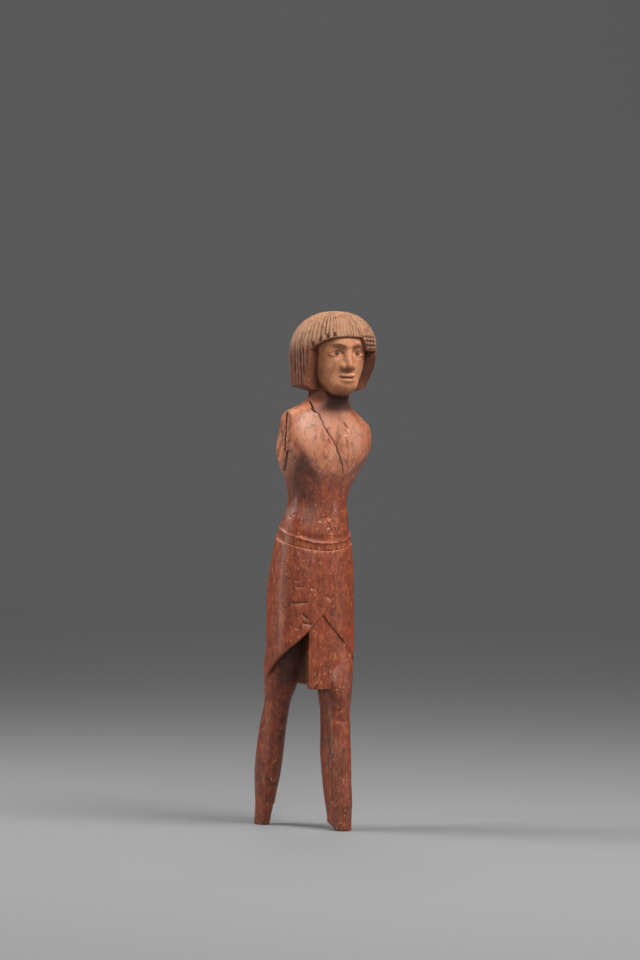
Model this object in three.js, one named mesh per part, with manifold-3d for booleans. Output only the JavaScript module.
// A striding man carved from one block of wood: bobbed wig, belted wrap kilt, left leg forward.
// The arms, once pegged to flat faces at the shoulders, and both feet are lost.
// Millimetres. X is the figure's left, minus Y its front, Z up. Angles turn from the front to its left.

import * as THREE from "three";
import { LoftGeometry } from "three/addons/geometries/LoftGeometry.js";
import { mergeVertices } from "three/addons/utils/BufferGeometryUtils.js";
import Module from "manifold-3d";

const kit = await Module();
kit.setup();
const { Manifold, Mesh: SolidMesh } = kit;

const DEGREE = Math.PI / 180;

// Trunk from the hem to inside the head, leaning forward and to its left as it rises.
// height, axis x, axis y, left half width, right half width, front depth, back depth, squareness
const TRUNK = sectionTable([
  [101, 0.0, 0.0, 28.6, 29.6, 22.4, 24.0, 2.3],
  [130, 0.0, 0.0, 30.0, 30.2, 22.8, 25.0, 2.3],
  [158, 0.0, 0.0, 29.8, 29.4, 22.8, 25.0, 2.3],
  [176, 0.3, -0.6, 29.2, 29.0, 22.4, 23.8, 2.25],
  [194, 0.9, -1.8, 27.0, 27.3, 20.6, 20.4, 2.2],
  [208, 1.4, -2.8, 24.9, 26.0, 18.8, 17.4, 2.15],
  [218, 2.0, -3.9, 22.4, 23.4, 17.0, 15.6, 2.1],
  [226, 2.6, -4.8, 20.9, 21.2, 16.0, 15.2, 2.1],
  [234, 3.1, -5.7, 22.4, 22.4, 16.2, 15.8, 2.1],
  [242, 3.7, -6.6, 25.6, 25.6, 16.8, 16.8, 2.15],
  [251, 4.3, -7.6, 30.2, 30.2, 17.8, 17.8, 2.2],
  [259, 4.9, -8.6, 34.2, 34.2, 18.4, 18.4, 2.25],
  [268, 5.5, -9.6, 36.0, 36.0, 18.6, 18.6, 2.3],
  [277, 6.1, -10.6, 34.4, 36.0, 17.6, 18.2, 2.3],
  [283, 6.4, -11.2, 29.0, 35.4, 16.0, 17.4, 2.25],
  [288, 6.7, -11.7, 22.6, 33.4, 14.6, 16.4, 2.2],
  [291, 6.8, -12.0, 18.0, 29.0, 14.0, 15.6, 2.15],
  [294, 7.0, -12.3, 15.4, 20.0, 13.7, 14.6, 2.1],
  [297, 7.1, -12.6, 14.6, 15.4, 13.6, 14.0, 2.0],
  [304, 7.5, -13.4, 14.0, 14.0, 13.6, 14.0, 2.0],
  [318, 8.2, -15.0, 14.0, 14.0, 14.0, 14.0, 2.0],
]);

// Legs from below the break to inside the kilt, the right one trailing, the left one forward.
const RIGHT_LEG = sectionTable([
  [-3, -18.9, 37.7, 5.4, 5.6, 7.6, 7.8, 2.4],
  [8, -18.6, 35.4, 5.6, 5.8, 8.0, 8.2, 2.4],
  [16, -18.3, 34.2, 6.1, 6.3, 8.4, 9.2, 2.3],
  [34, -17.8, 31.3, 8.1, 8.3, 10.8, 12.6, 2.2],
  [49, -17.3, 28.7, 8.8, 9.0, 11.8, 13.8, 2.1],
  [65, -16.8, 26.0, 8.6, 8.8, 11.8, 12.8, 2.1],
  [77, -16.3, 23.2, 8.3, 8.5, 11.6, 11.6, 2.1],
  [86, -16.0, 20.0, 8.1, 8.3, 11.4, 11.2, 2.1],
  [94, -15.8, 16.4, 9.3, 9.5, 12.4, 12.6, 2.1],
  [103, -15.6, 13.0, 10.4, 10.6, 13.2, 13.0, 2.1],
  [118, -15.3, 10.0, 11.8, 12.0, 14.6, 13.0, 2.1],
  [150, -14.5, 4.0, 13.0, 13.0, 15.0, 13.0, 2.0],
]);
const LEFT_LEG = sectionTable([
  [-3, 10.8, -23.0, 7.4, 7.2, 9.2, 9.4, 2.4],
  [10, 11.1, -21.8, 7.8, 7.6, 9.4, 9.8, 2.4],
  [18, 11.4, -20.4, 8.6, 8.4, 10.6, 11.4, 2.3],
  [38, 11.7, -16.8, 9.3, 9.1, 11.6, 13.4, 2.2],
  [52, 12.1, -14.8, 9.8, 9.6, 12.2, 14.4, 2.1],
  [68, 12.6, -13.0, 9.5, 9.3, 12.4, 13.4, 2.1],
  [81, 12.8, -12.0, 9.5, 9.3, 12.6, 12.4, 2.1],
  [90, 13.0, -11.2, 10.6, 10.4, 13.6, 13.0, 2.1],
  [98, 13.2, -10.2, 11.6, 11.4, 14.4, 14.0, 2.1],
  [112, 13.6, -8.4, 12.8, 12.4, 14.4, 15.0, 2.1],
  [150, 14.5, -3.0, 13.0, 13.0, 16.0, 14.0, 2.0],
]);

// Kilt: the hem climbs on both sides to a peak in front, the layers overlap, the belt dips in front.
const KILT_BOTTOM = 101;
const HEM_PEAK = 149;
const HEM_RISE = 1.5;
const HEM_MIDDLE = -5 * DEGREE;
const HEM_REACH = 115 * DEGREE;
const WRAP_THICKNESS = 1.0;
const OVERLAP = 0.7;
const OVERLAP_SLANT = 1.3 * DEGREE;
const OVERLAP_BEND = 0.013 * DEGREE;
const BELT_THICKNESS = 1.1;
const BELT_LINE = 0.8;
const TAB_EDGE = -11.6;
const TAB_END = 6;
const TAB_BOTTOM = 97.5;
const TAB_THICKNESS = 3.5;
const UNDER_INSET = 7;
const THIGH_HOLLOW = 12;
const hemClimb = (angle) => Math.max(0, 1 - Math.abs(angle - HEM_MIDDLE) / HEM_REACH) ** 1.15;
const hem = (angle) => KILT_BOTTOM + HEM_RISE + (HEM_PEAK - KILT_BOTTOM - HEM_RISE) * hemClimb(angle);
const beltLow = (angle) => 193.5 + 7.9 * (1 - Math.cos(angle));
const beltTop = (angle) => 199 + 9.5 * (1 - Math.cos(angle));

// Arm joints: flat faces with a slot for a peg, the right one tilted.
const JOINT_RIGHT = -26.3;
const JOINT_LEFT = 36.4;
const JOINT_MIDDLE = 269;
const JOINT_TILT = 7 * DEGREE;
const JOINT_TURN = -2.4 * DEGREE;
const SLOT = { depth: 7, width: 2.6, height: 25 };

// Head: the wig is a dome over straight sides, open in front of the face.
const HEAD = { x: 8.5, y: -18.1 };
const WIG = { left: 30.2, right: 30.2, front: 26, back: 30, squareness: 2.15 };
const WIG_BOTTOM = 306;
const WIG_WIDEST = 330;
const CROWN = 358.8;
const DOME_FULLNESS = 2.25;
const LOCKS = 36;
const LOCK_DEPTH = 1.0;
const FRINGE = 340;
const FRINGE_DROP = 9;
const fringe = (turn) => FRINGE - FRINGE_DROP * (turn > 0 ? ramp(turn, 0.27, 0.5) : -(turn ** 3));
const OPENING_TOP = 60 * DEGREE;
const OPENING_BOTTOM = { left: 92 * DEGREE, right: 73 * DEGREE };
const DOME_SHIFT = { x: 0.7, y: -1.7 };
const EYE_LINE = 329;
const CHIN = 300.4;
const FACE_AXIS = 10.5;

// Small helpers

// A smooth curve through stations that never overshoots them.
function smoothCurve(places, values) {
  const last = places.length - 1;
  const span = (k) => places[k + 1] - places[k];
  const rise = (k) => (values[k + 1] - values[k]) / span(k);
  const slopes = places.map((_, k) => {
    if (k === 0 || k === last) return rise(k === 0 ? 0 : last - 1);
    const before = rise(k - 1);
    const after = rise(k);
    if (before * after <= 0) return 0;
    const first = 2 * span(k) + span(k - 1);
    const second = span(k) + 2 * span(k - 1);
    return (first + second) / (first / before + second / after);
  });
  return (place) => {
    let k = 0;
    while (k < last - 1 && place > places[k + 1]) k += 1;
    const t = THREE.MathUtils.clamp((place - places[k]) / span(k), 0, 1);
    const bend = t * t * (3 - 2 * t);
    const lead = t * (1 - t) * (1 - t) * slopes[k] - t * t * (1 - t) * slopes[k + 1];
    return values[k] + (values[k + 1] - values[k]) * bend + lead * span(k);
  };
}

// Turns rows of section sizes into a function that gives the section at any height.
function sectionTable(rows) {
  const names = ["x", "y", "left", "right", "front", "back", "squareness"];
  const heights = rows.map((row) => row[0]);
  const curves = names.map((_, k) => smoothCurve(heights, rows.map((row) => row[k + 1])));
  return (height) => Object.fromEntries(names.map((name, k) => [name, curves[k](height)]));
}

// Distance from the axis of a section to its rim.
function rimDistance(section, angle) {
  const across = Math.sin(angle) / (Math.sin(angle) > 0 ? section.left : section.right);
  const along = Math.cos(angle) / (Math.cos(angle) > 0 ? section.front : section.back);
  const power = section.squareness;
  return (Math.abs(across) ** power + Math.abs(along) ** power) ** (-1 / power);
}

function around(axis, angle, distance, height) {
  return new THREE.Vector3(axis.x + distance * Math.sin(angle), axis.y - distance * Math.cos(angle), height);
}

// Angles of the columns of a loft; crowding above zero gathers them towards the front.
function columns(count, crowding = 0) {
  return Array.from({ length: count }, (_, k) => {
    const w = (2 * k) / count - 1;
    return Math.PI * ((1 - crowding) * w + crowding * w ** 3);
  });
}

const steps = (count) => Array.from({ length: count + 1 }, (_, k) => k / count);
const mix = (a, b, t) => a + (b - a) * t;
const ramp = THREE.MathUtils.smoothstep;
const bump = (offset, size) => Math.exp(-((offset / size) ** 2));

// Hands a three.js shape to the boolean kit.
function solid(geometry) {
  const bare = new THREE.BufferGeometry();
  bare.setAttribute("position", geometry.getAttribute("position"));
  bare.setIndex(geometry.getIndex());
  const welded = mergeVertices(bare, 1e-4);
  const corners = [...welded.getIndex().array];
  const kept = [];
  for (let k = 0; k < corners.length; k += 3) {
    const [a, b, c] = corners.slice(k, k + 3);
    if (a !== b && b !== c && c !== a) kept.push(a, b, c);
  }
  return new Manifold(
    new SolidMesh({
      numProp: 3,
      vertProperties: new Float32Array(welded.getAttribute("position").array),
      triVerts: new Uint32Array(kept),
    }),
  );
}

function loft(rows) {
  return solid(new LoftGeometry(rows, { capStart: true, capEnd: true }));
}

function block(width, depth, height, x, y, z, tilt = 0, turn = 0) {
  return solid(new THREE.BoxGeometry(width, depth, height).rotateY(tilt).rotateZ(turn).translate(x, y, z));
}

// Trunk and kilt

// Low muscles on the chest and back, and the right kilt layer lying over the left one.
function muscle(angle, height) {
  const chest = bump(Math.abs(angle) - 42 * DEGREE, 26 * DEGREE) * bump(height - 268, 9);
  const breastbone = bump(angle, 9 * DEGREE) * bump(height - 262, 20);
  const spine = bump(Math.PI - Math.abs(angle), 12 * DEGREE) * bump(height - 240, 34);
  const seat = bump(Math.PI - Math.abs(angle) - 38 * DEGREE, 26 * DEGREE) * bump(height - 158, 20);
  return 1.3 * chest - 0.7 * breastbone - 1.3 * spine + 1.1 * seat;
}

function overlap(angle, height) {
  const above = height - HEM_PEAK;
  const edge = HEM_MIDDLE + above * OVERLAP_SLANT - above * Math.abs(above) * OVERLAP_BEND;
  const under = ramp(angle, edge, edge + 5 * DEGREE) * (1 - ramp(angle, 40 * DEGREE, 80 * DEGREE));
  return -OVERLAP * under * (1 - ramp(height, 165, 195));
}

// Below the hem only the front layer comes out to the cloth; the legs fill the rest.
function underKilt(angle, height) {
  const right = 1 - ramp(angle, -48 * DEGREE, -31 * DEGREE);
  const left = ramp(angle, 60 * DEGREE, 100 * DEGREE);
  const thigh = ramp(angle, 10 * DEGREE, 32 * DEGREE) * (1 - ramp(height, KILT_BOTTOM, 127));
  return -UNDER_INSET * Math.max(right, left, thigh);
}

function trunk() {
  const flat = (height) => () => height;
  const bands = [
    { low: flat(KILT_BOTTOM), high: hem, rows: 5, swell: underKilt },
    { low: hem, high: (a) => beltLow(a) - BELT_LINE, rows: 9, swell: (a, z) => WRAP_THICKNESS + overlap(a, z) },
    { low: (a) => beltLow(a) - BELT_LINE, high: beltLow, rows: 1, swell: () => 0 },
    { low: beltLow, high: beltTop, rows: 1, swell: () => BELT_THICKNESS },
    { low: beltTop, high: flat(286), rows: 15, swell: () => 0 },
    { low: flat(288), high: flat(297), rows: 6, swell: () => 0 },
    { low: flat(304), high: flat(318), rows: 1, swell: () => 0 },
  ];
  const angles = columns(46);
  const rows = bands.flatMap((band) =>
    steps(band.rows).map((t) =>
      angles.map((angle) => {
        const height = mix(band.low(angle), band.high(angle), t);
        const section = TRUNK(height);
        const distance = rimDistance(section, angle) + band.swell(angle, height) + muscle(angle, height);
        return around(section, angle, distance, height);
      }),
    ),
  );
  return loft(rows);
}

// The space below the right half of the hem, where the trailing thigh shows beside the tab.
function thighHollow() {
  const section = TRUNK(120);
  const outline = new THREE.Shape();
  outline.moveTo(TAB_EDGE, 60);
  for (const t of steps(9)) {
    const angle = mix(-24, -84, t) * DEGREE;
    const place = rimDistance(section, angle) * Math.sin(angle);
    outline.lineTo(t === 0 ? TAB_EDGE : place, hem(angle));
  }
  outline.lineTo(-45, hem(-88 * DEGREE));
  outline.lineTo(-45, 60);
  const depth = 60;
  const cutter = new THREE.ExtrudeGeometry(outline, { depth, bevelEnabled: false, steps: 1 });
  return solid(mergeVertices(cutter.rotateX(Math.PI / 2).translate(0, THIGH_HOLLOW, 0)));
}

// The tab hangs a little below the rest of the kilt.
function tab() {
  const section = TRUNK(KILT_BOTTOM);
  const rim = (x) => {
    const power = section.squareness;
    return -section.front * (1 - Math.abs(x / section.left) ** power) ** (1 / power);
  };
  const outline = new THREE.Shape();
  outline.moveTo(TAB_EDGE, rim(TAB_EDGE) + TAB_THICKNESS);
  for (const t of steps(5)) {
    const x = mix(TAB_EDGE, TAB_END, t);
    outline.lineTo(x, rim(x));
  }
  outline.lineTo(TAB_END, rim(TAB_EDGE) + TAB_THICKNESS);
  const height = 8;
  const slab = new THREE.ExtrudeGeometry(outline, { depth: height, bevelEnabled: false, steps: 1 });
  return solid(mergeVertices(slab.translate(0, 0, TAB_BOTTOM)));
}

function leg(sections, top) {
  const angles = columns(16);
  const rows = steps(17).map((t) => {
    const height = mix(-3, top, t);
    const section = sections(height);
    return angles.map((angle) => around(section, angle, rimDistance(section, angle), height));
  });
  return loft(rows);
}

// Head

// The underside slopes down to the neck, the dome leans forward.
function wig() {
  const angles = columns(2 * LOCKS);
  const underside = { share: 0.62, climb: 0, height: WIG_BOTTOM - 2 };
  const side = steps(4).map((t) => ({
    share: mix(0.955, 1, Math.sqrt(t)),
    climb: 0,
    height: mix(WIG_BOTTOM + 1, WIG_WIDEST, t),
  }));
  const dome = steps(11).slice(1).map((t) => {
    const climb = Math.sin((t * Math.PI * 0.96) / 2);
    const share = (1 - climb ** DOME_FULLNESS) ** (1 / DOME_FULLNESS);
    return { share, climb, height: mix(WIG_WIDEST, CROWN, climb) };
  });
  const rows = [underside, ...side, ...dome].map((row) => {
    const axis = { x: HEAD.x + DOME_SHIFT.x * row.climb, y: HEAD.y + DOME_SHIFT.y * row.climb };
    return angles.map((angle, k) => {
      const smooth = 0.7 * bump(Math.abs(angle) - 75 * DEGREE, 22 * DEGREE) * (1 - row.climb);
      const groove = k % 2 === 0 ? LOCK_DEPTH * ramp(row.share, 0.2, 0.6) * (1 - smooth) : 0;
      return around(axis, angle, rimDistance(WIG, angle) * row.share - groove, row.height);
    });
  });
  return loft(rows);
}

// The opening of the wig: a wedge from the head's axis, arched below the fringe.
function faceOpening() {
  const low = 290;
  const side = (turn, height) => {
    const bottom = turn > 0 ? OPENING_BOTTOM.left : OPENING_BOTTOM.right;
    return turn * mix(bottom, OPENING_TOP, ramp(height, WIG_BOTTOM - 2, FRINGE - FRINGE_DROP));
  };
  const rows = steps(8).map((t) => {
    const rim = steps(20).map((s) => {
      const turn = 2 * s - 1;
      const height = mix(low, fringe(turn), t);
      return around(HEAD, side(turn, height), 60, height);
    });
    const back = mix(low, FRINGE, t);
    return [...rim, new THREE.Vector3(HEAD.x, HEAD.y, back)];
  });
  return loft(rows);
}

// Fields for the face: negative inside, in the head's own axes with zero on the eye line.
function ball(p, [x, y, z], [rx, ry, rz]) {
  return (Math.hypot((p.x - x) / rx, (p.y - y) / ry, (p.z - z) / rz) - 1) * Math.min(rx, ry, rz);
}

function taperedRod(p, from, to, startRadius, endRadius) {
  const a = new THREE.Vector3(...from);
  const line = new THREE.Vector3(...to).sub(a);
  const offset = p.clone().sub(a);
  const t = THREE.MathUtils.clamp(offset.dot(line) / line.lengthSq(), 0, 1);
  return offset.addScaledVector(line, -t).length() - mix(startRadius, endRadius, t);
}

function blend(a, b, radius) {
  const h = Math.max(radius - Math.abs(a - b), 0) / radius;
  return Math.min(a, b) - (h * h * radius) / 4;
}

const carve = (a, b, radius) => -blend(-a, b, radius);

function faceField(x, y, z) {
  const p = new THREE.Vector3(Math.abs(x), y, z);
  let field = ball(p, [0, -3.5, -1], [19.6, 19.2, 28.5]);
  field = blend(field, ball(p, [0, -11.5, -20.5], [11.5, 10.6, 8.6]), 4);
  field = carve(field, ball(p, [8, -24, 0.2], [6.4, 4.4, 4.0]), 2.5);
  field = blend(field, ball(p, [7.9, -16.6, -0.3], [5.2, 4.3, 3.1]), 0.8);
  field = blend(field, taperedRod(p, [0, -21.2, 3], [0, -25, -9.6], 1.7, 2.5), 2);
  field = blend(field, ball(p, [3.1, -22.6, -10], [2, 2, 2]), 1.2);
  field = blend(field, ball(p, [0, -21, -15.6], [6.2, 2.9, 1.6]), 0.8);
  return blend(field, ball(p, [0, -20.9, -18.8], [5.2, 2.9, 1.7]), 0.8);
}

function face() {
  const angles = columns(46, 0.55);
  const axis = { x: HEAD.x, y: HEAD.y - FACE_AXIS };
  const rows = steps(24).map((t) => {
    const height = mix(CHIN, FRINGE + 5, t);
    return angles.map((angle) => {
      let near = 0;
      let far = 40;
      for (let k = 0; k < 24; k += 1) {
        const middle = (near + far) / 2;
        const x = middle * Math.sin(angle);
        const y = -FACE_AXIS - middle * Math.cos(angle);
        if (faceField(x, y, height - EYE_LINE) > 0) far = middle;
        else near = middle;
      }
      return around(axis, angle, far, height);
    });
  });
  return loft(rows);
}

// The carving, put together and cut

function carving() {
  const kilt = trunk().subtract(thighHollow()).add(tab());
  const head = wig().subtract(faceOpening()).add(face());
  let body = kilt.add(leg(RIGHT_LEG, 150)).add(leg(LEFT_LEG, 150)).add(head);

  const axis = TRUNK(JOINT_MIDDLE);
  const lift = 4.5;
  const inward = lift * Math.tan(JOINT_TILT);
  const joint = [JOINT_TILT, JOINT_TURN];
  body = body.subtract(block(30, 80, 53, JOINT_RIGHT - 15 + inward, axis.y, JOINT_MIDDLE + lift, ...joint));
  body = body.subtract(block(30, 80, 53, JOINT_LEFT + 15, axis.y, JOINT_MIDDLE + lift));
  const slotMiddle = axis.y + 1;
  body = body.subtract(block(2 * SLOT.depth, SLOT.width, SLOT.height, JOINT_RIGHT, slotMiddle, JOINT_MIDDLE, ...joint));
  body = body.subtract(block(2 * SLOT.depth, SLOT.width, SLOT.height, JOINT_LEFT, slotMiddle, JOINT_MIDDLE));

  // The ankles are broken off level with the ground, with a step out of each.
  body = body.subtract(block(200, 200, 40, 0, 0, -20));
  body = body.subtract(block(8, 30, 30, -12.2, 32.4, 0, 12 * DEGREE, -27 * DEGREE));
  return body.subtract(block(20, 40, 10, 4.2, -18.9, -1, 37 * DEGREE, -27 * DEGREE));
}

function geometryOf(body) {
  const { vertProperties, triVerts } = body.getMesh();
  const geometry = new THREE.BufferGeometry();
  geometry.setAttribute("position", new THREE.BufferAttribute(vertProperties, 3));
  geometry.setIndex(new THREE.BufferAttribute(triVerts, 1));
  geometry.computeBoundingBox();
  const { min, max } = geometry.boundingBox;
  geometry.translate(-(min.x + max.x) / 2, -(min.y + max.y) / 2, -min.z);
  geometry.computeVertexNormals();
  return geometry;
}

const wood = new THREE.MeshStandardMaterial({ color: 0x7b4532, roughness: 0.6, metalness: 0 });
const figure = new THREE.Mesh(geometryOf(carving()), wood);
figure.name = "figure";

const part = new THREE.Group();
part.add(figure);
export default part;
